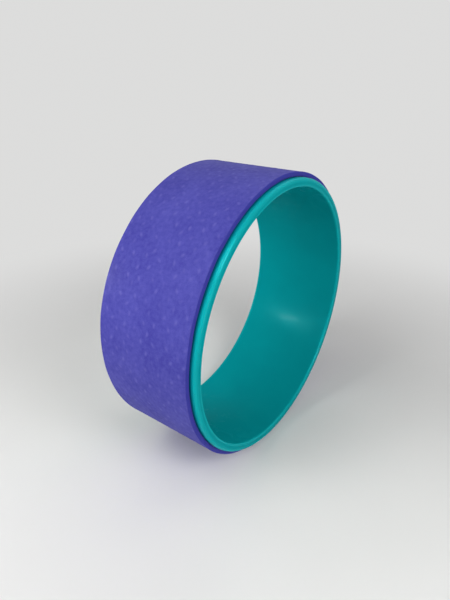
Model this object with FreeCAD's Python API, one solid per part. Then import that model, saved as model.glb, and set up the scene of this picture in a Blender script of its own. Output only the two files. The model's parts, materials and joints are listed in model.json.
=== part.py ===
"""Yoga wheel: a rigid plastic hoop with a foam pad bonded round it, standing upright on its tread.

Millimetres. The axle line runs along Y, +Z is up, and the origin is the middle of the flat patch
that the pad makes on the floor.
"""

import FreeCAD
import Part
import math
import os

# Hoop: one moulded ring, with a plain bore and rounded rims
HOOP_DIAMETER = 319.0
HOOP_WIDTH = 127.0
HOOP_WALL = 9.5
RIM_OUTER_ROUND = 2.5
RIM_INNER_ROUND = 2.0

# Bonding film: the adhesive layer that holds the pad on the hoop
FILM_THICKNESS = 0.2
FILM_MARGIN = 1.0  # from the pad's edge to the film's edge

# Pad: a flat strip of foam wrapped once round the hoop
PAD_THICKNESS = 5.3
PAD_MARGIN = 6.8  # bare hoop between the rim and the pad's edge
PAD_EDGE_ROUND = 0.6

# Seam: the butt joint where the two ends of the pad meet, filled with adhesive
SEAM_ANGLE = 20.0  # degrees up from +X, seen from the -Y side
SEAM_GAP = 0.4
SEAM_RECESS = 0.6  # from the tread down to the top of the bead

# Foot: the patch that the wheel's own weight presses flat under the tread
FOOT_DEPTH = 0.5

FULL_TURN = 360.0

# Radii of the layers, from the bore outwards
HOOP_RADIUS = HOOP_DIAMETER / 2
BORE_RADIUS = HOOP_RADIUS - HOOP_WALL
FILM_RADIUS = HOOP_RADIUS + FILM_THICKNESS
TREAD_RADIUS = FILM_RADIUS + PAD_THICKNESS

# Widths of the layers, to each side of the middle
HOOP_HALF_WIDTH = HOOP_WIDTH / 2
PAD_HALF_WIDTH = HOOP_HALF_WIDTH - PAD_MARGIN
FILM_HALF_WIDTH = PAD_HALF_WIDTH - FILM_MARGIN

# The strip starts at one side of the seam and runs round to the other
SEAM_SPAN = math.degrees(SEAM_GAP / TREAD_RADIUS)
STRIP_START = SEAM_ANGLE + SEAM_SPAN / 2
STRIP_SPAN = FULL_TURN - SEAM_SPAN

# Turning about -Y takes +X towards +Z, so angles count upwards from +X
CENTRE = FreeCAD.Vector(0.0, 0.0, TREAD_RADIUS - FOOT_DEPTH)
AXLE = FreeCAD.Vector(0.0, -1.0, 0.0)


def rounded_face(corners):
    """Face inside a loop of right-angled corners, each a point and the radius that rounds it."""
    turns = []
    for index, (corner, radius) in enumerate(corners):
        back = (corners[index - 1][0] - corner).normalize()
        ahead = (corners[(index + 1) % len(corners)][0] - corner).normalize()
        inward = back + ahead
        middle = corner + inward * radius * (1.0 - 1.0 / inward.Length)
        turns.append((corner + back * radius, middle, corner + ahead * radius, radius))
    edges = []
    for (_, _, leave, _), (enter, middle, exit_, radius) in zip(turns[-1:] + turns[:-1], turns):
        edges.append(Part.LineSegment(leave, enter).toShape())
        if radius > 0.0:
            edges.append(Part.Arc(enter, middle, exit_).toShape())
    return Part.Face(Part.Wire(edges))


def section(inner_radius, outer_radius, half_width, inner_round=0.0, outer_round=0.0):
    """Cross-section of a layer where it crosses the +X side, between two radii."""
    corners = []
    for radius, side, rounding in (
        (inner_radius, -half_width, inner_round),
        (outer_radius, -half_width, outer_round),
        (outer_radius, half_width, outer_round),
        (inner_radius, half_width, inner_round),
    ):
        corners.append((CENTRE + FreeCAD.Vector(radius, side, 0.0), rounding))
    return rounded_face(corners)


def swept(face, start, span):
    """Solid that a section sweeps round the axle line, from a start angle through a span."""
    face.rotate(CENTRE, AXLE, start)
    return face.revolve(CENTRE, AXLE, span)


def make_hoop():
    """The ring that carries the load, with both edges of each rim rounded."""
    profile = section(BORE_RADIUS, HOOP_RADIUS, HOOP_HALF_WIDTH, RIM_INNER_ROUND, RIM_OUTER_ROUND)
    return swept(profile, STRIP_START, FULL_TURN)


def make_bonding_film():
    """The adhesive layer between the hoop and the pad, open at the seam."""
    return swept(section(HOOP_RADIUS, FILM_RADIUS, FILM_HALF_WIDTH), STRIP_START, STRIP_SPAN)


def make_pad():
    """The wrapped foam strip, with soft outer edges and the flat patch that it stands on."""
    profile = section(FILM_RADIUS, TREAD_RADIUS, PAD_HALF_WIDTH, outer_round=PAD_EDGE_ROUND)
    strip = swept(profile, STRIP_START, STRIP_SPAN)
    corner = FreeCAD.Vector(-TREAD_RADIUS, -HOOP_HALF_WIDTH, -PAD_THICKNESS)
    floor = Part.makeBox(2 * TREAD_RADIUS, HOOP_WIDTH, PAD_THICKNESS, corner)
    return strip.cut(floor).Solids[0]


def make_seam_bead():
    """The adhesive that fills the butt joint, from the hoop up to just under the tread."""
    profile = section(HOOP_RADIUS, TREAD_RADIUS - SEAM_RECESS, FILM_HALF_WIDTH)
    return swept(profile, SEAM_ANGLE - SEAM_SPAN / 2, SEAM_SPAN)


NODES = {
    "hoop": make_hoop,
    "bonding_film": make_bonding_film,
    "pad": make_pad,
    "seam_bead": make_seam_bead,
}

os.makedirs("parts", exist_ok=True)
for node, make in NODES.items():
    solid = make()
    solid.exportStep(f"parts/{node}.step")
    print(f"{node}: {solid.Volume / 1000:.2f} cm3, closed and valid: {solid.isValid()}")
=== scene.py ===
"""Looks of the yoga wheel: a glossy moulded hoop with an embossed foam pad wrapped round its tread.

Metres, in the frame of the solids: the axle line runs along Y, +Z is up, and the wheel stands on z = 0.
Angles round the wheel count from +X towards +Z, as seen from the -Y side.
"""

import json
import logging
import math
from dataclasses import dataclass, field
from enum import Enum

import bpy
import numpy as np
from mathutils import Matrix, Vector


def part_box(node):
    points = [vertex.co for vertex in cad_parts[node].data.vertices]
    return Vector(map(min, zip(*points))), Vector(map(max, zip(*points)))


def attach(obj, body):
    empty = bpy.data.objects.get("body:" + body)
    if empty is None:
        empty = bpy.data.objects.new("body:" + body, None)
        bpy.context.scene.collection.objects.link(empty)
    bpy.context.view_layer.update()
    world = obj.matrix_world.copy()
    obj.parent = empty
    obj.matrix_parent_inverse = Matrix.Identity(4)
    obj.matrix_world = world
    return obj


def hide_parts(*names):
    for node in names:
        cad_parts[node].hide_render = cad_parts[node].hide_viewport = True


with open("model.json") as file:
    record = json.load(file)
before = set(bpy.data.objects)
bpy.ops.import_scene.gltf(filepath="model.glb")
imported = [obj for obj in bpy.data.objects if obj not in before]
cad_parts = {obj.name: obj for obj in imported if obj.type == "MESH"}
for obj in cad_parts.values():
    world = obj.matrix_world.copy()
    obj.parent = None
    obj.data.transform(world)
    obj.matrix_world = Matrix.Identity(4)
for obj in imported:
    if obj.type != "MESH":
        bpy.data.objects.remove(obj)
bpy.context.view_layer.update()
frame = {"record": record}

LOG = logging.getLogger("yoga_wheel")
BODY = "root"
MM_PER_METRE = 1000.0
MEASURE_STEP = 1e-4  # sizes read from the solids are rounded to a tenth of a millimetre
FULL_TURN = 2.0 * math.pi
QUARTER_TURN = math.pi / 2
LEAST_SINE = 1e-6  # keeps a division by a sine finite

# Directions in a section: from the axle line and towards it, to the back rim (+Y) and the front rim (-Y).
OUT, IN = (1.0, 0.0), (-1.0, 0.0)
BACK, FRONT = (0.0, 1.0), (0.0, -1.0)

# Settings of the shared effects.
NOISE_FLOOR, NOISE_CEILING = 0.3, 0.7  # the range that fractal noise seldom leaves
CELL_SMOOTHNESS = 0.6
CELL_FINE_RATIO = 3.1  # scale of the finer noise over the scale of the cells
FINE_DETAIL = 2.0
SCUFF_FULL = 0.8  # noise at which a handling mark is strongest

# Factors that scatter the settled draws of the grains.
SCATTER_ALONG, SCATTER_ACROSS, SCATTER_DRAW, SCATTER_SPREAD = 12.9898, 78.233, 37.719, 43758.5453
DRAWS_PER_GRAIN = 4

Array = np.ndarray
Colour = tuple[float, float, float]


class Node(Enum):
    """The solids that the pieces stand for."""

    HOOP = "hoop"
    FILM = "bonding_film"
    PAD = "pad"
    BEAD = "seam_bead"


class Slot(Enum):
    """The record's material slots."""

    HOOP = "hoop_plastic"
    PAD = "pad_foam"
    ADHESIVE = "adhesive"


class Axis(Enum):
    """The axes along which a solid is measured."""

    X = 0
    Y = 1


class Mark(Enum):
    """The numbers that a piece carries at its points for its material to read."""

    INSIDE = "inside"
    EDGE = "edge"
    # Where the hoop is painted darker beside the pad's foot, as the pad's shadow.
    PAD_SHADE = "foot"
    RELIEF = "relief"
    CUT = "cut"


class Lean(Enum):
    """Which way the long side of an embossed grain leans from the running direction of the tread."""

    LEFT = -1.0
    RIGHT = 1.0


class Reach(Enum):
    """What a lamp lights: everything, only the matte part of each surface, or only its gloss."""

    FULL = "full"
    MATTE = "matte"
    GLOSS = "gloss"


@dataclass(frozen=True)
class WheelSizes:
    """Sizes that the pieces share, read from the solids, and the gap of the seam."""

    axle_height: float
    bore_radius: float
    hoop_radius: float
    film_radius: float
    tread_radius: float
    hoop_half_width: float
    film_half_width: float
    pad_half_width: float
    seam_angle: float
    seam_gap: float = 0.0004

    @classmethod
    def from_frame(cls, record: dict) -> "WheelSizes":
        """Reads the sizes from the record's bore and from the boxes of the solids.

        Args:
            record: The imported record.

        Returns:
            The shared sizes.
        """
        bore = next(mount for mount in record["mounts"] if mount["name"] == "bore")
        axle_height = bore["pos_m"][2]
        bead_low, bead_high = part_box(Node.BEAD.value)
        bead_middle = (bead_low + bead_high) / 2
        return cls(
            axle_height=axle_height,
            bore_radius=bore["dims"]["r_mm"] / MM_PER_METRE,
            hoop_radius=cls.half_extent(Node.HOOP, Axis.X),
            film_radius=cls.half_extent(Node.FILM, Axis.X),
            tread_radius=cls.half_extent(Node.PAD, Axis.X),
            hoop_half_width=cls.half_extent(Node.HOOP, Axis.Y),
            film_half_width=cls.half_extent(Node.FILM, Axis.Y),
            pad_half_width=cls.half_extent(Node.PAD, Axis.Y),
            seam_angle=math.atan2(bead_middle.z - axle_height, bead_middle.x),
        )

    @staticmethod
    def half_extent(node: Node, axis: Axis) -> float:
        """Half of a solid's size along one axis.

        Args:
            node: The solid to measure.
            axis: The axis to measure along.

        Returns:
            The half size, rounded to the measuring step.
        """
        low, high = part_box(node.value)
        return round((high[axis.value] - low[axis.value]) / 2 / MEASURE_STEP) * MEASURE_STEP

    def half_gap(self) -> float:
        """Half of the seam's gap, as an angle at the tread."""
        return self.seam_gap / 2 / self.tread_radius


def even_run(start: tuple, end: tuple, count: int) -> Array:
    """Points on a straight line at even steps, without its last point.

    Args:
        start: First point, as radius and place across.
        end: Last point.
        count: Number of steps.

    Returns:
        An array of count rows of two.
    """
    share = np.linspace(0.0, 1.0, count, endpoint=False)[:, None]
    return np.asarray(start) * (1.0 - share) + np.asarray(end) * share


def gathered_run(start: tuple, end: tuple, count: int) -> Array:
    """Points on a straight line that gather at both ends, so that the flat between rounds stays flat.

    The share of the way is half of one minus the cosine of an angle that goes evenly through half a turn.

    Args:
        start: First point, as radius and place across.
        end: Last point.
        count: Number of steps.

    Returns:
        An array of count rows of two.
    """
    turn = np.linspace(0.0, math.pi, count, endpoint=False)[:, None]
    share = (1.0 - np.cos(turn)) / 2.0
    return np.asarray(start) * (1.0 - share) + np.asarray(end) * share


def corner_round(corner: tuple, back: tuple, ahead: tuple, radius: float, count: int) -> Array:
    """Quarter circle that rounds a right-angled corner of a profile, without its last point.

    Each point is the circle's centre, less the two unit directions weighted by the cosine and sine of an
    angle that goes through a quarter turn.

    Args:
        corner: The sharp corner, as radius and place across.
        back: Unit direction from the corner back along the profile.
        ahead: Unit direction from the corner on along the profile.
        radius: Radius of the round.
        count: Number of steps.

    Returns:
        An array of count rows of two.
    """
    back_way, ahead_way = np.asarray(back, float), np.asarray(ahead, float)
    centre = np.asarray(corner) + radius * (back_way + ahead_way)
    turn = np.linspace(0.0, QUARTER_TURN, count, endpoint=False)[:, None]
    return centre - radius * (ahead_way * np.cos(turn) + back_way * np.sin(turn))


def smooth_step(value: Array) -> Array:
    """Eases from 0 to 1 as the value does: three times its square less twice its cube."""
    held = np.clip(value, 0.0, 1.0)
    return held * held * (3.0 - 2.0 * held)


@dataclass(frozen=True)
class Wave:
    """One of the sine waves that make an edge uneven."""

    rate: float
    weight: float
    phase: float = 0.0

    def at(self, place: Array) -> Array:
        """The wave's value: its weight times the sine of the place times the rate, plus the phase."""
        return self.weight * np.sin(place * self.rate + self.phase)


@dataclass
class Sweep:
    """A closed profile carried round the axle line: rings of points that become a closed mesh.

    Attributes:
        radius: Radius of each point, as rings by columns.
        across: Place of each point along the axle line, as rings by columns.
        angles: Angle of each ring round the wheel.
        axle_height: Height of the axle line.
        whole: True for a full ring, False for a strip whose two ends are capped.
    """

    radius: Array
    across: Array
    angles: Array
    axle_height: float
    whole: bool

    @classmethod
    def plain(cls, profile: Array, angles: Array, axle_height: float, whole: bool) -> "Sweep":
        """A sweep whose section stays the same all the way.

        Args:
            profile: The section, as rows of radius and place across.
            angles: Angle of each ring round the wheel.
            axle_height: Height of the axle line.
            whole: True for a full ring.

        Returns:
            The sweep.
        """
        shape = (len(angles), len(profile))
        radius, across = (np.broadcast_to(profile[:, column], shape) for column in (0, 1))
        return cls(radius, across, angles, axle_height, whole)

    def points(self) -> Array:
        """Places of the grid: radius times the cosine and sine of the angle, about the axle line.

        Returns:
            An array of rings by columns by three.
        """
        turn = self.angles[:, None]
        along_x = self.radius * np.cos(turn)
        up = self.axle_height + self.radius * np.sin(turn)
        return np.stack([along_x, self.across, up], axis=-1)

    def quads(self) -> tuple[Array, Array]:
        """Four-sided faces between neighbouring rings and columns.

        Returns:
            Corner numbers of each face, and the ring and column of each corner counted without wrapping.
        """
        rings, columns = self.radius.shape
        spans = rings if self.whole else rings - 1
        ring, column = np.meshgrid(np.arange(spans), np.arange(columns), indexing="ij")
        steps = np.array([[0, 0], [1, 0], [1, 1], [0, 1]])
        places = np.stack([ring, column], axis=-1)[:, :, None, :] + steps
        numbers = (places[..., 0] % rings) * columns + places[..., 1] % columns
        return numbers.reshape(-1, 4), places.reshape(-1, 4, 2)

    def caps(self) -> Array:
        """Triangles from each end ring of a strip to the point in its middle.

        Returns:
            Corner numbers of each triangle, where the two middle points follow the grid.
        """
        rings, columns = self.radius.shape
        here = np.arange(columns)
        following = (here + 1) % columns
        last = (rings - 1) * columns
        first_middle = np.full(columns, rings * columns)
        start = np.stack([first_middle, here, following], axis=-1)
        end = np.stack([first_middle + 1, last + following, last + here], axis=-1)
        return np.concatenate([start, end])

    def to_object(self, name: str) -> bpy.types.Object:
        """Makes the mesh, with its faces outwards and a UV map in metres along and round the section.

        Args:
            name: Name of the piece.

        Returns:
            The new object, at the origin.
        """
        points = self.points()
        corners, places = self.quads()
        flat = points.reshape(-1, 3)
        faces = [*corners]
        if not self.whole:
            flat = np.concatenate([flat, points[0].mean(axis=0)[None], points[-1].mean(axis=0)[None]])
            faces += [*self.caps()]
        mesh = bpy.data.meshes.new(name)
        mesh.from_pydata(flat, [], faces)
        mesh.polygons.foreach_set("use_smooth", np.ones(len(faces), bool))
        self.write_uv(mesh, places)
        mesh.update()
        piece = bpy.data.objects.new(name, mesh)
        bpy.context.scene.collection.objects.link(piece)
        return piece

    def write_uv(self, mesh: bpy.types.Mesh, places: Array) -> None:
        """Writes the UV map: arc length along the wheel, and length round the section.

        Args:
            mesh: The mesh to write to.
            places: Ring and column of each corner of the four-sided faces, counted without wrapping.
        """
        rim = float(self.radius.max())
        first = np.stack([self.radius[0], self.across[0]], axis=-1)
        lengths = np.linalg.norm(np.diff(first, axis=0, append=first[:1]), axis=1)
        around = np.concatenate([[0.0], np.cumsum(lengths)])
        turns = np.concatenate([self.angles, [self.angles[0] + FULL_TURN]])
        pairs = np.zeros((len(mesh.loops), 2))
        quads = np.stack([turns[places[..., 0]] * rim, around[places[..., 1]]], axis=-1)
        pairs[: quads.shape[0] * quads.shape[1]] = quads.reshape(-1, 2)
        layer = mesh.uv_layers.new(name="surface")
        layer.uv.foreach_set("vector", pairs.astype(np.float32).ravel())


def write_mark(piece: bpy.types.Object, mark: Mark, values: Array) -> None:
    """Stores a number at each point of a piece for its material to read.

    Args:
        piece: The piece.
        mark: What the number tells.
        values: One value for each grid point; the middle points of capped ends get the mean.
    """
    count = len(piece.data.vertices)
    flat = values.ravel()
    filled = np.concatenate([flat, np.full(count - flat.size, flat.mean())])
    attribute = piece.data.attributes.new(mark.value, "FLOAT", "POINT")
    attribute.data.foreach_set("value", filled.astype(np.float32))


class NodeBoard:
    """A node tree that is being wired: adds nodes with their settings and joins their sockets."""

    MIX_INPUTS = (0, 6, 7)  # a mix node's sockets for the share, the first colour and the second colour
    MIX_OUTPUT = 2  # its socket for the mixed colour

    def __init__(self, tree: bpy.types.NodeTree) -> None:
        """Starts with an empty tree."""
        self.tree = tree
        self.tree.nodes.clear()

    def add(self, kind: str, inputs: dict | None = None, **settings: object) -> bpy.types.Node:
        """Adds one node.

        Args:
            kind: Blender's name of the node type.
            inputs: Socket name or number to a constant, or to the socket that feeds it.
            settings: Properties of the node itself.

        Returns:
            The new node.
        """
        node = self.tree.nodes.new(kind)
        for name, value in settings.items():
            setattr(node, name, value)
        for name, value in (inputs or {}).items():
            self.feed(node.inputs[name], value)
        return node

    def feed(self, socket: bpy.types.NodeSocket, value: object) -> None:
        """Joins an input to the socket that feeds it, or sets it to a constant.

        Args:
            socket: The input socket.
            value: The constant, or the socket that feeds it.
        """
        if isinstance(value, bpy.types.NodeSocket):
            self.tree.links.new(value, socket)
        else:
            socket.default_value = value

    def mark(self, mark: Mark) -> bpy.types.NodeSocket:
        """Reads a number that the piece carries at its points."""
        return self.add("ShaderNodeAttribute", attribute_name=mark.value).outputs["Fac"]

    def math(self, operation: str, *values: object) -> bpy.types.NodeSocket:
        """Adds a math node and gives its result.

        Args:
            operation: Blender's name of the operation.
            values: Constants or sockets, in the order of the node's inputs.

        Returns:
            The socket that holds the result.
        """
        return self.add("ShaderNodeMath", dict(enumerate(values)), operation=operation).outputs[0]

    def tint(self, share: object, low: object, high: object) -> bpy.types.NodeSocket:
        """Mixes two colours.

        Args:
            share: Constant or socket from 0, all low, to 1, all high.
            low: First colour, as four numbers or a socket.
            high: Second colour.

        Returns:
            The socket that holds the mixed colour.
        """
        inputs = dict(zip(self.MIX_INPUTS, (share, low, high)))
        return self.add("ShaderNodeMix", inputs, data_type="RGBA").outputs[self.MIX_OUTPUT]

    def effect(self, group: bpy.types.NodeTree, inputs: dict) -> bpy.types.Node:
        """Places a shared effect with its own values.

        Args:
            group: The effect's node group.
            inputs: Its input names to constants or sockets.

        Returns:
            The placed group node.
        """
        return self.add("ShaderNodeGroup", inputs, node_tree=group)


def start_group(name: str, inputs: dict, output: str) -> tuple[NodeBoard, bpy.types.Node]:
    """Starts the node group of a shared effect.

    Args:
        name: Name of the group.
        inputs: Input names to their usual value, or to None for a vector.
        output: Name of its one output, a number.

    Returns:
        The group's board and its input node.
    """
    tree = bpy.data.node_groups.new(name, "ShaderNodeTree")
    for label, usual in inputs.items():
        kind = "NodeSocketVector" if usual is None else "NodeSocketFloat"
        socket = tree.interface.new_socket(label, in_out="INPUT", socket_type=kind)
        if usual is not None:
            socket.default_value = usual
    tree.interface.new_socket(output, in_out="OUTPUT", socket_type="NodeSocketFloat")
    board = NodeBoard(tree)
    return board, board.add("NodeGroupInput")


def make_mottle() -> bpy.types.NodeTree:
    """Uneven tone: fractal noise, stretched so that its middle values run from Low to High.

    Returns:
        The node group.
    """
    inputs = {"Vector": None, "Scale": 50.0, "Detail": 3.0, "Low": 0.0, "High": 1.0}
    board, given = start_group("mottle", inputs, "Value")
    noise = board.add(
        "ShaderNodeTexNoise",
        {name: given.outputs[name] for name in ("Vector", "Scale", "Detail")},
    )
    spread = board.add(
        "ShaderNodeMapRange",
        {
            "Value": noise.outputs["Fac"],
            "From Min": NOISE_FLOOR,
            "From Max": NOISE_CEILING,
            "To Min": given.outputs["Low"],
            "To Max": given.outputs["High"],
        },
    )
    board.add("NodeGroupOutput", {"Value": spread.outputs["Result"]})
    return board.tree


def make_cells() -> bpy.types.NodeTree:
    """Closed cells under a skin: smooth distance to scattered points, with finer noise over it.

    Returns:
        The node group.
    """
    board, given = start_group("cells", {"Vector": None, "Scale": 700.0, "Fine": 0.35}, "Height")
    cell = board.add(
        "ShaderNodeTexVoronoi",
        {
            "Vector": given.outputs["Vector"],
            "Scale": given.outputs["Scale"],
            "Smoothness": CELL_SMOOTHNESS,
        },
        feature="SMOOTH_F1",
    )
    fine_scale = board.math("MULTIPLY", given.outputs["Scale"], CELL_FINE_RATIO)
    noise = board.add(
        "ShaderNodeTexNoise",
        {"Vector": given.outputs["Vector"], "Scale": fine_scale, "Detail": FINE_DETAIL},
    )
    fine = board.math("MULTIPLY", noise.outputs["Fac"], given.outputs["Fine"])
    height = board.math("SUBTRACT", fine, cell.outputs["Distance"])
    board.add("NodeGroupOutput", {"Height": height})
    return board.tree


def make_scuffs() -> bpy.types.NodeTree:
    """Faint handling marks: noise drawn out along the surface, kept only where it is highest.

    Returns:
        The node group.
    """
    inputs = {"Vector": None, "Along": 8.0, "Across": 900.0, "Rare": 0.64}
    board, given = start_group("scuffs", inputs, "Mask")
    stretch = {0: given.outputs["Along"], 1: given.outputs["Across"], 2: 1.0}
    scale = board.add("ShaderNodeCombineXYZ", stretch)
    drawn = board.add(
        "ShaderNodeVectorMath", {0: given.outputs["Vector"], 1: scale.outputs[0]}, operation="MULTIPLY"
    )
    noise = board.add(
        "ShaderNodeTexNoise", {"Vector": drawn.outputs[0], "Scale": 1.0, "Detail": FINE_DETAIL}
    )
    mark = board.add(
        "ShaderNodeMapRange",
        {"Value": noise.outputs["Fac"], "From Min": given.outputs["Rare"], "From Max": SCUFF_FULL},
    )
    board.add("NodeGroupOutput", {"Mask": mark.outputs["Result"]})
    return board.tree


@dataclass
class Effects:
    """The shader effects, each built once and placed in the finishes that need it."""

    mottle: bpy.types.NodeTree = field(default_factory=make_mottle)
    cells: bpy.types.NodeTree = field(default_factory=make_cells)
    scuffs: bpy.types.NodeTree = field(default_factory=make_scuffs)


def opaque(colour: Colour) -> tuple[float, float, float, float]:
    """The colour with full alpha."""
    return (*colour, 1.0)


def start_material(name: str) -> tuple[bpy.types.Material, NodeBoard]:
    """Starts a node material.

    Args:
        name: Name of the material.

    Returns:
        The material and the board to wire it on.
    """
    material = bpy.data.materials.new(name)
    material.use_nodes = True
    return material, NodeBoard(material.node_tree)


@dataclass(frozen=True)
class MouldedPlastic:
    """Hard plastic: glossy in the bore, duller on the rims, with painted highlight on its edges and painted
    shade along the pad.

    Attributes:
        colour: Main colour.
        pale: Paler tone that it is mottled with.
        painted_highlight: Paler colour painted along the edges, reaching onto the bare strips, as
            highlight.
        painted_shade: Dark bluish colour of the painted shade along the pad's foot, standing for the pad's
            shadow on the bare strip.
        painted_shade_strength: Strength of that painted shade.
        tone_scale: Scale of the mottle.
        gloss_scale: Scale of the uneven gloss.
        smooth: Least roughness.
        dull: Greatest roughness of the uneven gloss.
        flat_dull: Roughness added on the flats outside the bore.
        bore_dull: Roughness added in the bore.
        mark_dull: Roughness added by handling marks.
        ripple_scale: Scale of the broad ripple.
        ripple_detail: Detail of the broad ripple.
        ripple_height: Height of the broad ripple.
        peel_scale: Scale of the fine peel.
        peel_detail: Detail of the fine peel.
        peel_height: Height of the fine peel.
        edge_pearl: How metallic the edges look.
        edge_coat: Weight of the clear coat on the crest of the edges.
        edge_focus: Power that narrows that coat to the crest.
        bore_coat: Weight of the clear coat in the bore.
        coat_roughness: Roughness of the coat.
        ior: Index of refraction.
        mirror: Specular level.
        mirror_tint: Colour of the reflections.
    """

    colour: Colour = (0.001, 0.264, 0.292)
    pale: Colour = (0.001, 0.286, 0.316)
    painted_highlight: Colour = (0.002, 0.385, 0.415)
    painted_shade: Colour = (0.001, 0.072, 0.170)
    painted_shade_strength: float = 0.75
    tone_scale: float = 22.0
    gloss_scale: float = 60.0
    smooth: float = 0.18
    dull: float = 0.24
    flat_dull: float = 0.25
    bore_dull: float = 0.05
    mark_dull: float = 0.03
    ripple_scale: float = 17.0
    ripple_detail: float = 0.0
    ripple_height: float = 0.00050
    peel_scale: float = 420.0
    peel_detail: float = 1.0
    peel_height: float = 0.000012
    edge_pearl: float = 0.12
    edge_coat: float = 0.12
    edge_focus: float = 4.0
    bore_coat: float = 0.0006
    coat_roughness: float = 0.10
    ior: float = 1.5
    mirror: float = 0.009
    mirror_tint: Colour = (0.10, 1.0, 1.0)

    def material(self, effects: Effects) -> bpy.types.Material:
        """Wires the finish: tone and roughness from noise, scuffs and the place, painted highlight and
        shade from the marks, ripple and peel as bump.

        Args:
            effects: The shared effects.

        Returns:
            The material.
        """
        material, board = start_material("moulded_plastic")
        place = board.add("ShaderNodeTexCoord")
        where, surface = place.outputs["Object"], place.outputs["UV"]
        inside = board.mark(Mark.INSIDE)
        edge = board.mark(Mark.EDGE)
        tone = board.effect(effects.mottle, {"Vector": where, "Scale": self.tone_scale})
        body = board.tint(tone.outputs[0], opaque(self.colour), opaque(self.pale))
        # Painted shade: the plastic beside the pad's foot is painted darker and bluish, as the pad's
        # shadow.
        foot = board.mark(Mark.PAD_SHADE)
        # Painted highlight: the edges, and the bare strips beside them, are painted paler.
        highlighted = board.tint(edge, body, opaque(self.painted_highlight))
        colour = board.tint(board.math("MULTIPLY", foot, self.painted_shade_strength), highlighted, opaque(self.painted_shade))
        gloss = board.effect(
            effects.mottle,
            {"Vector": where, "Scale": self.gloss_scale, "Low": self.smooth, "High": self.dull},
        )
        marks = board.effect(effects.scuffs, {"Vector": surface})
        marked = board.math("MULTIPLY_ADD", marks.outputs[0], self.mark_dull, gloss.outputs[0])
        flat = board.math("SUBTRACT", 1.0, board.math("MAXIMUM", inside, edge))
        dulled = board.math("MULTIPLY_ADD", flat, self.flat_dull, marked)
        roughness = board.math("MULTIPLY_ADD", inside, self.bore_dull, dulled)
        bore_coat = board.math("MULTIPLY", inside, self.bore_coat)
        crest = board.math("POWER", edge, self.edge_focus)
        coat = board.math("MULTIPLY_ADD", crest, self.edge_coat, bore_coat)
        ripple = board.effect(
            effects.mottle, {"Vector": where, "Scale": self.ripple_scale, "Detail": self.ripple_detail}
        )
        broad = board.add("ShaderNodeBump", {"Distance": self.ripple_height, "Height": ripple.outputs[0]})
        peel = board.effect(
            effects.mottle, {"Vector": where, "Scale": self.peel_scale, "Detail": self.peel_detail}
        )
        fine = board.add(
            "ShaderNodeBump",
            {"Distance": self.peel_height, "Height": peel.outputs[0], "Normal": broad.outputs[0]},
        )
        shader = board.add(
            "ShaderNodeBsdfPrincipled",
            {
                "Base Color": colour,
                "Roughness": roughness,
                "Metallic": board.math("MULTIPLY", edge, self.edge_pearl),
                "IOR": self.ior,
                "Specular IOR Level": self.mirror,
                "Specular Tint": opaque(self.mirror_tint),
                "Coat Weight": coat,
                "Coat Roughness": self.coat_roughness,
                "Normal": fine.outputs[0],
            },
        )
        board.add("ShaderNodeOutputMaterial", {"Surface": shader.outputs[0]})
        return material


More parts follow.
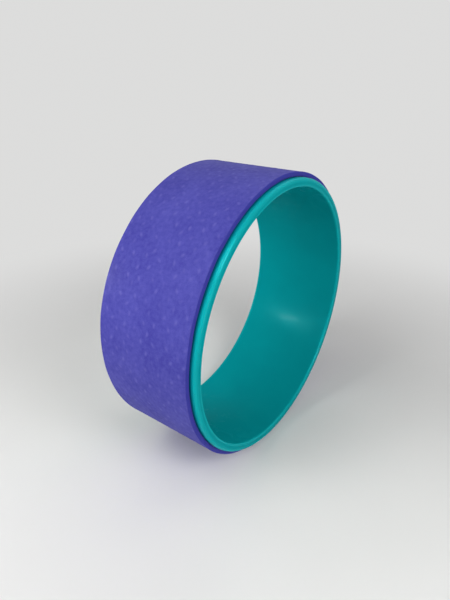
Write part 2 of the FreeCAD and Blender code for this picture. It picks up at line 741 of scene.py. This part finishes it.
@dataclass(frozen=True)
class FoamSkin:
    """Matte elastomer foam: a fine skin on the embossed tread with painted highlight on the grain tops,
    open cells on the cut edges.

    Attributes:
        colour: Main colour.
        pale: Paler tone that it is mottled with.
        grain: Paler colour painted on the tops of the grains as highlight.
        cut: Colour of the cut edges.
        cloud_scale: Scale of the broad mottle.
        cloud_detail: Detail of the broad mottle.
        fleck_scale: Scale of the flecks.
        fleck_detail: Detail of the flecks.
        fleck_swing: How far the flecks move the tone, both ways.
        speck_scale: Scale of the finest specks.
        speck_swing: How far the specks move the tone, both ways.
        tone_gain: Factor on the sum of mottle, flecks and specks.
        tone_base: What is added to it to give the share of the paler tone.
        gloss_scale: Scale of the uneven roughness.
        smooth: Least roughness.
        dull: Greatest roughness.
        cell_scale: Scale of the cells.
        cell_height: Height of the cells.
        cell_strength: Strength of their bump.
        grain_highlight: How far the grain tops take that painted highlight colour.
        mirror: Specular level.
        sheen: Weight of the sheen.
        sheen_roughness: Roughness of the sheen.
    """

    colour: Colour = (0.053, 0.050, 0.312)
    pale: Colour = (0.087, 0.085, 0.405)
    grain: Colour = (0.141, 0.136, 0.470)
    cut: Colour = (0.047, 0.046, 0.325)
    cloud_scale: float = 30.0
    cloud_detail: float = 4.0
    fleck_scale: float = 230.0
    fleck_detail: float = 2.0
    fleck_swing: float = 0.60
    speck_scale: float = 1100.0
    speck_swing: float = 0.35
    tone_gain: float = 0.5
    tone_base: float = 0.25
    gloss_scale: float = 260.0
    smooth: float = 0.58
    dull: float = 0.72
    cell_scale: float = 800.0
    cell_height: float = 0.00010
    cell_strength: float = 0.6
    grain_highlight: float = 0.62
    mirror: float = 0.08
    sheen: float = 0.01
    sheen_roughness: float = 0.45

    def material(self, effects: Effects) -> bpy.types.Material:
        """Wires the finish: tone from noise, painted highlight from the grains' height, cells as bump.

        Args:
            effects: The shared effects.

        Returns:
            The material.
        """
        material, board = start_material("foam_skin")
        where = board.add("ShaderNodeTexCoord").outputs["Object"]
        relief = board.mark(Mark.RELIEF)
        cut = board.mark(Mark.CUT)
        cloud = board.effect(
            effects.mottle, {"Vector": where, "Scale": self.cloud_scale, "Detail": self.cloud_detail}
        )
        fleck = board.effect(
            effects.mottle,
            {
                "Vector": where,
                "Scale": self.fleck_scale,
                "Detail": self.fleck_detail,
                "Low": -self.fleck_swing,
                "High": self.fleck_swing,
            },
        )
        speck = board.effect(
            effects.mottle,
            {
                "Vector": where,
                "Scale": self.speck_scale,
                "Low": -self.speck_swing,
                "High": self.speck_swing,
            },
        )
        uneven = board.math("ADD", fleck.outputs[0], speck.outputs[0])
        tone = board.math("ADD", cloud.outputs[0], uneven)
        share = board.math("MULTIPLY_ADD", tone, self.tone_gain, self.tone_base)
        skin = board.tint(share, opaque(self.colour), opaque(self.pale))
        # Painted highlight: the tops of the grains are painted paler by their height.
        grain_highlight = board.math("MULTIPLY", relief, self.grain_highlight)
        embossed = board.tint(grain_highlight, skin, opaque(self.grain))
        colour = board.tint(cut, embossed, opaque(self.cut))
        roughness = board.effect(
            effects.mottle,
            {"Vector": where, "Scale": self.gloss_scale, "Low": self.smooth, "High": self.dull},
        )
        cells = board.effect(effects.cells, {"Vector": where, "Scale": self.cell_scale})
        bump = board.add(
            "ShaderNodeBump",
            {"Distance": self.cell_height, "Strength": self.cell_strength, "Height": cells.outputs[0]},
        )
        shader = board.add(
            "ShaderNodeBsdfPrincipled",
            {
                "Base Color": colour,
                "Roughness": roughness.outputs[0],
                "Normal": bump.outputs[0],
                "Specular IOR Level": self.mirror,
                "Sheen Weight": self.sheen,
                "Sheen Roughness": self.sheen_roughness,
            },
        )
        board.add("ShaderNodeOutputMaterial", {"Surface": shader.outputs[0]})
        return material


@dataclass(frozen=True)
class CuredAdhesive:
    """Cured contact adhesive: amber, slightly cloudy and uneven.

    Attributes:
        colour: Main colour.
        pale: Paler tone of the clouds.
        cloud_scale: Scale of the clouds.
        gloss_scale: Scale of the uneven gloss.
        smooth: Least roughness.
        dull: Greatest roughness.
        lump_scale: Scale of the lumps.
        lump_height: Height of the lumps.
    """

    colour: Colour = (0.36, 0.31, 0.22)
    pale: Colour = (0.50, 0.46, 0.36)
    cloud_scale: float = 180.0
    gloss_scale: float = 400.0
    smooth: float = 0.3
    dull: float = 0.5
    lump_scale: float = 900.0
    lump_height: float = 0.00008

    def material(self, effects: Effects) -> bpy.types.Material:
        """Wires the finish: cloudy tone, uneven gloss and a lumpy surface.

        Args:
            effects: The shared effects.

        Returns:
            The material.
        """
        material, board = start_material("cured_adhesive")
        where = board.add("ShaderNodeTexCoord").outputs["Object"]
        cloud = board.effect(effects.mottle, {"Vector": where, "Scale": self.cloud_scale})
        colour = board.tint(cloud.outputs[0], opaque(self.colour), opaque(self.pale))
        roughness = board.effect(
            effects.mottle,
            {"Vector": where, "Scale": self.gloss_scale, "Low": self.smooth, "High": self.dull},
        )
        lumps = board.effect(effects.cells, {"Vector": where, "Scale": self.lump_scale})
        bump = board.add("ShaderNodeBump", {"Distance": self.lump_height, "Height": lumps.outputs[0]})
        shader = board.add(
            "ShaderNodeBsdfPrincipled",
            {"Base Color": colour, "Roughness": roughness.outputs[0], "Normal": bump.outputs[0]},
        )
        board.add("ShaderNodeOutputMaterial", {"Surface": shader.outputs[0]})
        return material


def seen_directly(board: NodeBoard) -> bpy.types.NodeSocket:
    """Mask that is 1 for what the camera sees, in the open, in a gloss or through glass, and 0 for light.

    Args:
        board: The board of the material or world that needs it.

    Returns:
        The socket that holds the mask.
    """
    path = board.add("ShaderNodeLightPath").outputs
    mirrored = board.math("MAXIMUM", path["Is Glossy Ray"], path["Is Transmission Ray"])
    return board.math("MAXIMUM", path["Is Camera Ray"], mirrored)


@dataclass(frozen=True)
class PaleFloor:
    """Plain pale studio floor of a barely uneven tone, which fades into the backdrop with distance.

    Attributes:
        backdrop: Colour that it fades into.
        colour: Main colour.
        pale: Paler tone that it is mottled with.
        tone_scale: Scale of the mottle.
        roughness: Roughness.
        mirror: Specular level.
        fade_from: Distance from the wheel's foot at which the fade begins.
        fade_to: Distance at which it is complete.
    """

    backdrop: Colour
    colour: Colour = (0.76, 0.76, 0.747)
    pale: Colour = (0.79, 0.79, 0.777)
    tone_scale: float = 3.0
    roughness: float = 0.7
    mirror: float = 0.05
    fade_from: float = 0.15
    fade_to: float = 0.80

    def material(self, effects: Effects) -> bpy.types.Material:
        """Wires the finish: broad soft changes of tone on a matte surface, mixed out with the distance.

        Args:
            effects: The shared effects.

        Returns:
            The material.
        """
        material, board = start_material("pale_floor")
        where = board.add("ShaderNodeTexCoord").outputs["Object"]
        tone = board.effect(effects.mottle, {"Vector": where, "Scale": self.tone_scale})
        colour = board.tint(tone.outputs[0], opaque(self.colour), opaque(self.pale))
        shader = board.add(
            "ShaderNodeBsdfPrincipled",
            {"Base Color": colour, "Roughness": self.roughness, "Specular IOR Level": self.mirror},
        )
        distance = board.add("ShaderNodeVectorMath", {0: where}, operation="LENGTH").outputs["Value"]
        fade = board.add(
            "ShaderNodeMapRange",
            {"Value": distance, "From Min": self.fade_from, "From Max": self.fade_to},
            interpolation_type="SMOOTHSTEP",
        )
        share = board.math("MULTIPLY", fade.outputs["Result"], seen_directly(board))
        far = board.add("ShaderNodeEmission", {"Color": opaque(self.backdrop)})
        mixed = board.add("ShaderNodeMixShader", {0: share, 1: shader.outputs[0], 2: far.outputs[0]})
        board.add("ShaderNodeOutputMaterial", {"Surface": mixed.outputs[0]})
        return material


def finish_piece(piece: bpy.types.Object, material: bpy.types.Material, node: Node) -> None:
    """Gives a piece its material and its body, and hides the solid that it stands for.

    Args:
        piece: The piece.
        material: Its material.
        node: The solid that it replaces.
    """
    piece.data.materials.append(material)
    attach(piece, BODY)
    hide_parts(node.value)
    LOG.info("%s: %d points, %d faces", piece.name, len(piece.data.vertices), len(piece.data.polygons))


@dataclass
class Hoop:
    """The moulded ring: a plain bore, two flat rims, rounded edges and a bare strip on each side.

    Attributes:
        sizes: The shared sizes.
        outer_round: Radius of the outer edges.
        inner_round: Radius of the inner edges.
        outer_edge_reach: How far from an outer corner the edge mask reaches.
        inner_edge_reach: The same from an inner corner.
        edge_gain: How sharply the edge mask sets in: above 1, it is full some way off the corner.
        pad_shade_width: Width of the painted shade along the pad.
        rings: Number of rings round the wheel.
        round_steps: Steps round each edge.
        wall_steps: Steps across the bore, and under the pad.
        strip_steps: Steps across each bare strip.
        rim_steps: Steps across each rim.
    """

    sizes: WheelSizes
    outer_round: float = 0.0025
    inner_round: float = 0.002
    outer_edge_reach: float = 0.0060
    inner_edge_reach: float = 0.0038
    edge_gain: float = 1.5
    pad_shade_width: float = 0.0028
    rings: int = 640
    round_steps: int = 9
    wall_steps: int = 14
    strip_steps: int = 7
    rim_steps: int = 6

    def profile(self) -> Array:
        """Section of the hoop, as a closed loop of radius and place across.

        Straight runs joined by quarter circles, starting on the bore. The outer wall has its own runs on
        the two bare strips beside the pad.

        Returns:
            An array of rows of two.
        """
        bore, rim = self.sizes.bore_radius, self.sizes.hoop_radius
        half, covered = self.sizes.hoop_half_width, self.sizes.pad_half_width
        inner, outer = self.inner_round, self.outer_round
        steps = self.round_steps
        return np.concatenate([
            gathered_run((bore, -half + inner), (bore, half - inner), self.wall_steps),
            corner_round((bore, half), FRONT, OUT, inner, steps),
            gathered_run((bore + inner, half), (rim - outer, half), self.rim_steps),
            corner_round((rim, half), IN, FRONT, outer, steps),
            even_run((rim, half - outer), (rim, covered), self.strip_steps),
            gathered_run((rim, covered), (rim, -covered), self.wall_steps),
            even_run((rim, -covered), (rim, -half + outer), self.strip_steps),
            corner_round((rim, -half), BACK, IN, outer, steps),
            gathered_run((rim - outer, -half), (bore + inner, -half), self.rim_steps),
            corner_round((bore, -half), OUT, BACK, inner, steps),
        ])

    def build(self) -> bpy.types.Object:
        """Carries the section once round the axle line, and marks the bore, the edges and the painted shade
        at the pad's foot.

        The bore's mark eases out over the inner round. The painted shade's mark eases out over its width
        beside the pad, and keeps off the bore.

        Returns:
            The hoop.
        """
        angles = np.linspace(0.0, FULL_TURN, self.rings, endpoint=False)
        sweep = Sweep.plain(self.profile(), angles, self.sizes.axle_height, whole=True)
        piece = sweep.to_object("moulded_hoop")
        from_bore = (sweep.radius - self.sizes.bore_radius) / self.inner_round
        write_mark(piece, Mark.INSIDE, 1.0 - smooth_step(from_bore))
        # The edge mask carries the painted highlight of the colour and the extra gloss of the edges.
        write_mark(piece, Mark.EDGE, self.edges(sweep.radius, sweep.across))
        # Painted shade: a darker band on the bare strip beside the pad, standing for the pad's shadow.
        beside = (np.abs(sweep.across) - self.sizes.pad_half_width) / self.pad_shade_width
        write_mark(piece, Mark.PAD_SHADE, (1.0 - smooth_step(beside)) * smooth_step(from_bore - 1.0))
        return piece

    def edges(self, radius: Array, across: Array) -> Array:
        """How strongly each place takes the edges' painted highlight and extra gloss: 1 along the edges, 0
        on the flats.

        It eases from 1 near a corner of the section to 0 at that corner's reach.

        Args:
            radius: Radius of each point.
            across: Place of each point along the axle line.

        Returns:
            Values from 0, on the flats, to 1.
        """
        from_face = self.sizes.hoop_half_width - np.abs(across)
        from_rim = np.hypot(self.sizes.hoop_radius - radius, from_face) / self.outer_edge_reach
        from_bore = np.hypot(radius - self.sizes.bore_radius, from_face) / self.inner_edge_reach
        return smooth_step(self.edge_gain * (1.0 - np.minimum(from_rim, from_bore)))

    def dress(self, piece: bpy.types.Object, effects: Effects) -> None:
        """Gives the hoop its plastic."""
        finish_piece(piece, MouldedPlastic().material(effects), Node.HOOP)


@dataclass(frozen=True)
class GrainPattern:
    """The tread's emboss: oval grains in staggered rows that lean to alternate sides.

    Attributes:
        pitch_along: Distance between the grains of one set, along the tread.
        pitch_across: The same across the tread.
        stagger: Share of a pitch by which the second set is moved, both ways.
        length: Long side of a grain.
        width: Short side of a grain.
        lean: Angle between a grain's long side and the running direction.
        lean_change: How far that angle varies from grain to grain.
        stray: How far a grain strays from its place.
        uneven: How much the height varies from grain to grain.
        dome: Power that shapes a grain's top: higher is more pointed.
    """

    pitch_along: float = 0.0195
    pitch_across: float = 0.0160
    stagger: float = 0.5
    length: float = 0.0070
    width: float = 0.0040
    lean: float = math.radians(22.0)
    lean_change: float = math.radians(30.0)
    stray: float = 0.0022
    uneven: float = 0.8
    dome: float = 1.5

    @staticmethod
    def chance(number_along: Array, number_across: Array, draw: float) -> Array:
        """Settled draw for each grain, from -1 to 1: the fraction of a large multiple of a sine.

        Args:
            number_along: Number of the grain along the tread.
            number_across: Number of the grain across the tread.
            draw: Which of the grain's draws it is.

        Returns:
            One draw for each point, the same all over a grain.
        """
        mixed = number_along * SCATTER_ALONG + number_across * SCATTER_ACROSS + draw * SCATTER_DRAW
        spread = np.sin(mixed) * SCATTER_SPREAD
        return 2.0 * (spread - np.floor(spread)) - 1.0

    def row(self, along: Array, across: Array, shift: float, lean: Lean) -> Array:
        """Height of one set of grains: one less the squared distance in each oval, to the dome's power.

        Args:
            along: Place along the tread.
            across: Place across the tread.
            shift: Share of a pitch by which the set is moved, both ways.
            lean: The side that its grains lean to.

        Returns:
            Heights from 0, between the grains, to 1.
        """
        step_along = along / self.pitch_along - shift
        step_across = across / self.pitch_across - shift
        number_along, number_across = np.round(step_along), np.round(step_across)
        stray_along, stray_across, turned, weak = (
            self.chance(number_along, number_across, shift + number) for number in range(DRAWS_PER_GRAIN)
        )
        off_along = (step_along - number_along) * self.pitch_along + self.stray * stray_along
        off_across = (step_across - number_across) * self.pitch_across + self.stray * stray_across
        turn = self.lean * lean.value + self.lean_change * turned
        length_share = (off_along * np.cos(turn) + off_across * np.sin(turn)) / (self.length / 2)
        width_share = (off_across * np.cos(turn) - off_along * np.sin(turn)) / (self.width / 2)
        inside = np.clip(1.0 - length_share**2 - width_share**2, 0.0, 1.0)
        strength = 1.0 - self.uneven * (weak + 1.0) / 2.0
        return inside**self.dome * strength

    def relief(self, along: Array, across: Array) -> Array:
        """Height of the whole emboss, from 0 to 1.

        Args:
            along: Place along the tread.
            across: Place across the tread.

        Returns:
            The higher of the two sets of grains at each point.
        """
        straight = self.row(along, across, 0.0, Lean.LEFT)
        staggered = self.row(along, across, self.stagger, Lean.RIGHT)
        return np.maximum(straight, staggered)


@dataclass
class Pad:
    """The foam strip that is wrapped once round the hoop and meets itself at the seam.

    Attributes:
        sizes: The shared sizes.
        edge_round: Radius of the edges of the tread.
        under_round: Radius of the edges on the hoop.
        end_round: Radius of the two ends at the seam.
        grain_height: Height of the emboss.
        edge_wave: Size of the edges' waver.
        edge_waves: The sine waves of that waver, by the angle round the wheel.
        tread_from: Share of the thickness above which a point belongs to the tread.
        rings: Number of even rings along the strip.
        end_rings: Number of closer rings at each end.
        tread_steps: Steps across the tread.
        round_steps: Steps round each edge.
        side_steps: Steps up each side.
        under_steps: Steps across the underside.
        pattern: The emboss.
    """

    sizes: WheelSizes
    edge_round: float = 0.0006
    under_round: float = 0.0006
    end_round: float = 0.0010
    grain_height: float = 0.00022
    edge_wave: float = 0.00015
    edge_waves: tuple[Wave, ...] = (Wave(7.0, 1.0, 0.6), Wave(17.0, 0.6, 2.1), Wave(31.0, 0.4))
    tread_from: float = 0.9
    rings: int = 810
    end_rings: int = 6
    tread_steps: int = 96
    round_steps: int = 4
    side_steps: int = 3
    under_steps: int = 2
    pattern: GrainPattern = GrainPattern()

    def profile(self) -> Array:
        """Section of the strip, as a closed loop of radius and place across, starting under the pad.

        Returns:
            An array of rows of two.
        """
        under, top = self.sizes.film_radius, self.sizes.tread_radius
        half, small, soft = self.sizes.pad_half_width, self.under_round, self.edge_round
        steps = self.round_steps
        return np.concatenate([
            even_run((under, -half + small), (under, half - small), self.under_steps),
            corner_round((under, half), FRONT, OUT, small, steps),
            gathered_run((under + small, half), (top - soft, half), self.side_steps),
            corner_round((top, half), IN, FRONT, soft, steps),
            even_run((top, half - soft), (top, -half + soft), self.tread_steps),
            corner_round((top, -half), BACK, IN, soft, steps),
            gathered_run((top - soft, -half), (under + small, -half), self.side_steps),
            corner_round((under, -half), OUT, BACK, small, steps),
        ])

    def ring_angles(self) -> tuple[Array, Array]:
        """Angles of the rings, even along the strip and closer at its two ends.

        Returns:
            The angles, and how far each ring lies from the nearer end.
        """
        reach, half_gap = self.sizes.tread_radius, self.sizes.half_gap()
        length = (FULL_TURN - 2.0 * half_gap) * reach
        quarter = np.linspace(0.0, QUARTER_TURN, self.end_rings, endpoint=False)
        near = self.end_round * (1.0 - np.cos(quarter))
        middle = np.linspace(self.end_round, length - self.end_round, self.rings)
        along = np.concatenate([near, middle, length - near[::-1]])
        start = self.sizes.seam_angle + half_gap
        return start + along / reach, np.minimum(along, length - along)

    def flattened(self, radius: Array, angles: Array) -> Array:
        """Presses the lowest part of the strip flat on the floor.

        Below the axle line, a radius is held to the axle's height over the sine of the angle down from it.

        Args:
            radius: Radius of each point, as rings by columns.
            angles: Angle of each ring.

        Returns:
            The held radius of each point.
        """
        down = -np.sin(angles)[:, None]
        to_floor = self.sizes.axle_height / np.maximum(down, LEAST_SINE)
        return np.where(down > 0.0, np.minimum(radius, to_floor), radius)

    def build(self) -> bpy.types.Object:
        """Carries the section along the strip, embosses the tread and flattens the foot.

        The tread lies one grain's height under the outer radius, and the grains rise back to it. At each
        end the upper half of the section falls away in a quarter circle, and both edges waver slightly
        along their length.

        Returns:
            The pad.
        """
        profile = self.profile()
        section_radius, section_across = profile[None, :, 0], profile[None, :, 1]
        angles, from_end = self.ring_angles()
        under, top, half_round = self.sizes.film_radius, self.sizes.tread_radius, self.edge_round / 2
        rise = (section_radius - under) / (top - under)
        from_edge = self.sizes.pad_half_width - np.abs(section_across)
        clear = smooth_step((from_edge - half_round) / (2.0 * self.edge_round))
        on_tread = clear * (rise > self.tread_from)
        relief = self.pattern.relief(angles[:, None] * top, section_across) * on_tread
        waver = sum(wave.at(angles) for wave in self.edge_waves)[:, None]
        outwards = np.sign(section_across) * (1.0 - on_tread)
        across = section_across + self.edge_wave * waver * outwards
        short = np.clip(1.0 - from_end / self.end_round, 0.0, 1.0)[:, None]
        fall = self.end_round * (1.0 - np.sqrt(1.0 - short**2))
        fallen = section_radius - fall * smooth_step(2.0 * rise - 1.0)
        radius = self.flattened(fallen + self.grain_height * (relief - on_tread), angles)
        piece = Sweep(radius, across, angles, self.sizes.axle_height, whole=False).to_object("foam_pad")
        write_mark(piece, Mark.RELIEF, relief)
        side = smooth_step((half_round - from_edge) / half_round)
        write_mark(piece, Mark.CUT, np.maximum(side, short**2))
        return piece

    def dress(self, piece: bpy.types.Object, effects: Effects) -> None:
        finish_piece(piece, FoamSkin().material(effects), Node.PAD)


@dataclass
class Adhesive:
    """What holds the pad: the film under it, and the bead in its seam.

    Attributes:
        sizes: The shared sizes.
        bead_recess: Depth of the bead's top under the tread.
        meniscus: Depth of the hollow in the bead's top.
        hollow_waves: The sine waves of that hollow's waver, by the place along the seam.
        film_rings: Number of rings along the film.
        film_steps: Steps across each side of the film.
        bead_rings: Number of rings across the seam.
        bead_steps: Steps along the seam.
        side_steps: Steps up each narrow side of either section.
    """

    sizes: WheelSizes
    bead_recess: float = 0.0006
    meniscus: float = 0.0002
    hollow_waves: tuple[Wave, ...] = (Wave(310.0, 0.5), Wave(870.0, 0.3, 1.0))
    film_rings: int = 480
    film_steps: int = 2
    bead_rings: int = 5
    bead_steps: int = 60
    side_steps: int = 2

    def section(self, low: float, high: float, steps: int) -> Array:
        """Thin rectangle between two radii, as a closed loop of radius and place across.

        Args:
            low: Inner radius.
            high: Outer radius.
            steps: Number of steps across its inner and its outer side.

        Returns:
            An array of rows of two.
        """
        half = self.sizes.film_half_width
        return np.concatenate([
            even_run((low, -half), (low, half), steps),
            even_run((low, half), (high, half), self.side_steps),
            even_run((high, half), (high, -half), steps),
            even_run((high, -half), (low, -half), self.side_steps),
        ])

    def build_film(self) -> bpy.types.Object:
        """Carries the thin section along the strip, from one side of the seam to the other.

        Returns:
            The film.
        """
        profile = self.section(self.sizes.hoop_radius, self.sizes.film_radius, self.film_steps)
        start, half_gap = self.sizes.seam_angle, self.sizes.half_gap()
        angles = np.linspace(start + half_gap, start + FULL_TURN - half_gap, self.film_rings)
        sweep = Sweep.plain(profile, angles, self.sizes.axle_height, whole=False)
        return sweep.to_object("adhesive_film")

    def build_bead(self) -> bpy.types.Object:
        """Carries the seam's section across the gap, with a hollow top that wavers along the seam.

        The top sinks by the meniscus, times one less the squared place between the two ends of the pad,
        times the waver.

        Returns:
            The bead.
        """
        top = self.sizes.tread_radius - self.bead_recess
        profile = self.section(self.sizes.hoop_radius, top, self.bead_steps)
        place = np.linspace(-1.0, 1.0, self.bead_rings)
        angles = self.sizes.seam_angle + place * self.sizes.half_gap()
        sweep = Sweep.plain(profile, angles, self.sizes.axle_height, whole=False)
        waver = 1.0 + sum(wave.at(sweep.across) for wave in self.hollow_waves)
        hollow = self.meniscus * (1.0 - place[:, None] ** 2) * waver
        sweep.radius = sweep.radius - hollow * (sweep.radius >= top)
        return sweep.to_object("adhesive_bead")

    def dress(self, film: bpy.types.Object, bead: bpy.types.Object, effects: Effects) -> None:
        """Gives the film and the bead the cured adhesive.

        Args:
            film: The film under the pad.
            bead: The bead in the seam.
            effects: The shared effects.
        """
        material = CuredAdhesive().material(effects)
        finish_piece(film, material, Node.FILM)
        finish_piece(bead, material, Node.BEAD)


def direction(azimuth: float, elevation: float) -> Vector:
    """Unit direction towards a place round the wheel.

    Args:
        azimuth: Degrees from -Y towards +X.
        elevation: Degrees above the floor.

    Returns:
        The direction.
    """
    turn, rise = math.radians(azimuth), math.radians(elevation)
    return Vector((math.sin(turn) * math.cos(rise), -math.cos(turn) * math.cos(rise), math.sin(rise)))


@dataclass(frozen=True)
class SoftLamp:
    """A soft light that faces the wheel.

    Attributes:
        name: Name of the lamp.
        azimuth: Degrees from -Y towards +X, as seen from the middle of the wheel.
        elevation: Degrees above the level.
        distance: Distance from the middle of the wheel.
        width: Width of the lit rectangle.
        power: Power in watts.
        tall: Height of the rectangle, as a share of its width.
        beam: Angle over which it sends its light, in degrees.
        reach: What it lights.
    """

    name: str
    azimuth: float
    elevation: float
    distance: float
    width: float
    power: float
    tall: float = 1.0
    beam: float = 180.0
    reach: Reach = Reach.FULL

    def build(self, target: Vector) -> None:
        """Hangs the lamp and turns it to the target.

        Args:
            target: The place that the lamp faces.
        """
        lamp = bpy.data.lights.new(self.name, "AREA")
        lamp.energy = self.power
        lamp.shape = "RECTANGLE"
        lamp.size = self.width
        lamp.size_y = self.width * self.tall
        lamp.spread = math.radians(self.beam)
        holder = bpy.data.objects.new(self.name, lamp)
        holder.visible_camera = False
        holder.visible_diffuse = self.reach is not Reach.GLOSS
        holder.visible_glossy = self.reach is not Reach.MATTE
        bpy.context.scene.collection.objects.link(holder)
        away = direction(self.azimuth, self.elevation)
        holder.location = target + away * self.distance
        holder.rotation_euler = away.to_track_quat("Z", "Y").to_euler()


@dataclass
class Studio:
    """The pale floor, the soft light and the camera at the photograph's angle.

    Attributes:
        sizes: The shared sizes.
        floor_radius: Radius of the floor.
        floor_drop: How far the floor lies under the wheel, so that the two don't flicker.
        floor_rings: Number of rings of the floor.
        floor_segments: Number of faces in each ring.
        sky: Light of the room.
        backdrop: Colour behind the wheel.
        image_height: Height of the picture, in pixels.
        focal_pixels: Focal length, in pixels of the picture.
        sensor: Longer side of the sensor, in millimetres.
        near_clip: Nearest distance that the camera sees.
        azimuth: Camera's place, in degrees from -Y towards +X.
        elevation: Camera's place, in degrees above the level.
        distance: Camera's distance from the middle of the wheel.
        aim_right: Degrees by which its aim is turned to the right of the wheel.
        aim_up: Degrees by which its aim is turned above the wheel.
        lamps: The lamps.
    """

    sizes: WheelSizes
    floor_radius: float = 60.0
    floor_drop: float = 0.0001
    floor_rings: int = 24
    floor_segments: int = 96
    sky: Colour = (0.12, 0.12, 0.12)
    backdrop: Colour = (0.72, 0.72, 0.715)
    image_height: int = 600
    focal_pixels: float = 462.0
    sensor: float = 36.0
    near_clip: float = 0.01
    azimuth: float = -55.72
    elevation: float = 27.63
    distance: float = 0.5653
    aim_right: float = -1.82
    aim_up: float = 0.575
    lamps: tuple[SoftLamp, ...] = (
        SoftLamp("window", -117.0, 25.0, distance=0.80, width=0.26, power=1.6, reach=Reach.MATTE),
        SoftLamp("window_side", -108.0, 14.0, distance=0.80, width=0.26, power=0.9, reach=Reach.MATTE),
        SoftLamp("low_side", -95.0, 6.0, distance=0.80, width=0.26, power=0.5, reach=Reach.MATTE),
        SoftLamp("high_rear", -160.0, 50.0, distance=1.2, width=0.40, power=1.1, reach=Reach.MATTE),
        SoftLamp(
            "bulb", -131.8, 20.8, distance=0.218, width=0.035, power=0.72,
            tall=0.50, beam=90.0, reach=Reach.GLOSS,
        ),
        SoftLamp("upper_left", -112.0, 55.0, distance=1.2, width=0.40, power=2.6),
        SoftLamp("front", -22.0, 37.0, distance=0.85, width=0.35, power=3.2),
        SoftLamp("low_front", -18.0, 4.0, distance=0.60, width=0.20, power=0.45),
        SoftLamp("right", 65.0, 38.0, distance=3.6, width=2.2, power=14.0),
        SoftLamp("top", 0.0, 89.0, distance=3.6, width=2.0, power=6.0),
        SoftLamp("back", 130.0, 35.0, distance=3.6, width=2.2, power=12.0),
    )

    def centre(self) -> Vector:
        """Middle of the wheel."""
        return Vector((0.0, 0.0, self.sizes.axle_height))

    def build_floor(self, effects: Effects) -> None:
        """Lays a round floor: rings whose radius grows as the square of their number.

        Args:
            effects: The shared effects.
        """
        share = np.linspace(0.0, 1.0, self.floor_rings + 1)[1:]
        turn = np.linspace(0.0, FULL_TURN, self.floor_segments, endpoint=False)
        reach = (self.floor_radius * share**2)[:, None]
        level = np.full((self.floor_rings, self.floor_segments), -self.floor_drop)
        flat = np.stack([reach * np.cos(turn), reach * np.sin(turn), level], -1)
        points = np.concatenate([flat.reshape(-1, 3), [[0.0, 0.0, -self.floor_drop]]])
        wide = self.floor_segments
        ring, segment = np.meshgrid(np.arange(self.floor_rings - 1), np.arange(wide), indexing="ij")
        following = (segment + 1) % wide
        inner, outer = ring * wide, (ring + 1) * wide
        quads = np.stack([inner + segment, outer + segment, outer + following, inner + following], -1)
        here = np.arange(wide)
        hub = np.stack([np.full(wide, len(points) - 1), here, (here + 1) % wide], -1)
        mesh = bpy.data.meshes.new("floor")
        mesh.from_pydata(points, [], [*quads.reshape(-1, 4), *hub])
        floor = bpy.data.objects.new("floor", mesh)
        bpy.context.scene.collection.objects.link(floor)
        mesh.materials.append(PaleFloor(self.backdrop).material(effects))

    def build_light(self) -> None:
        """Fills the room with pale light and hangs the lamps."""
        world = bpy.data.worlds.new("room")
        world.use_nodes = True
        board = NodeBoard(world.node_tree)
        sky = board.add("ShaderNodeBackground", {"Color": opaque(self.sky)})
        backdrop = board.add("ShaderNodeBackground", {"Color": opaque(self.backdrop)})
        seen = seen_directly(board)
        mixed = board.add("ShaderNodeMixShader", {0: seen, 1: sky.outputs[0], 2: backdrop.outputs[0]})
        board.add("ShaderNodeOutputWorld", {"Surface": mixed.outputs[0]})
        bpy.context.scene.world = world
        for lamp in self.lamps:
            lamp.build(self.centre())

    def build_camera(self) -> None:
        """Places the camera at the photograph's angle, with its aim turned a little off the wheel."""
        lens = bpy.data.cameras.new("camera")
        lens.sensor_width = self.sensor
        lens.lens = self.focal_pixels * self.sensor / self.image_height
        lens.clip_start = self.near_clip
        camera = bpy.data.objects.new("camera", lens)
        bpy.context.scene.collection.objects.link(camera)
        camera.location = self.centre() + direction(self.azimuth, self.elevation) * self.distance
        back = direction(self.azimuth - self.aim_right, self.elevation - self.aim_up)
        camera.rotation_euler = back.to_track_quat("Z", "Y").to_euler()
        bpy.context.scene.camera = camera

    def build(self, effects: Effects) -> None:
        """Sets up the floor, the light, the camera and the plain view transform.

        Args:
            effects: The shared effects.
        """
        self.build_floor(effects)
        self.build_light()
        self.build_camera()
        bpy.context.scene.view_settings.view_transform = "Standard"


def main() -> None:
    """Builds the wheel's pieces in order, then the studio."""
    logging.basicConfig(level=logging.INFO, format="%(name)s: %(message)s")
    sizes = WheelSizes.from_frame(frame["record"])
    LOG.info("sizes: %s", sizes)
    effects = Effects()
    hoop = Hoop(sizes)
    hoop.dress(hoop.build(), effects)
    adhesive = Adhesive(sizes)
    adhesive.dress(adhesive.build_film(), adhesive.build_bead(), effects)
    pad = Pad(sizes)
    pad.dress(pad.build(), effects)
    Studio(sizes).build(effects)


if __name__ == "__main__":
    main()
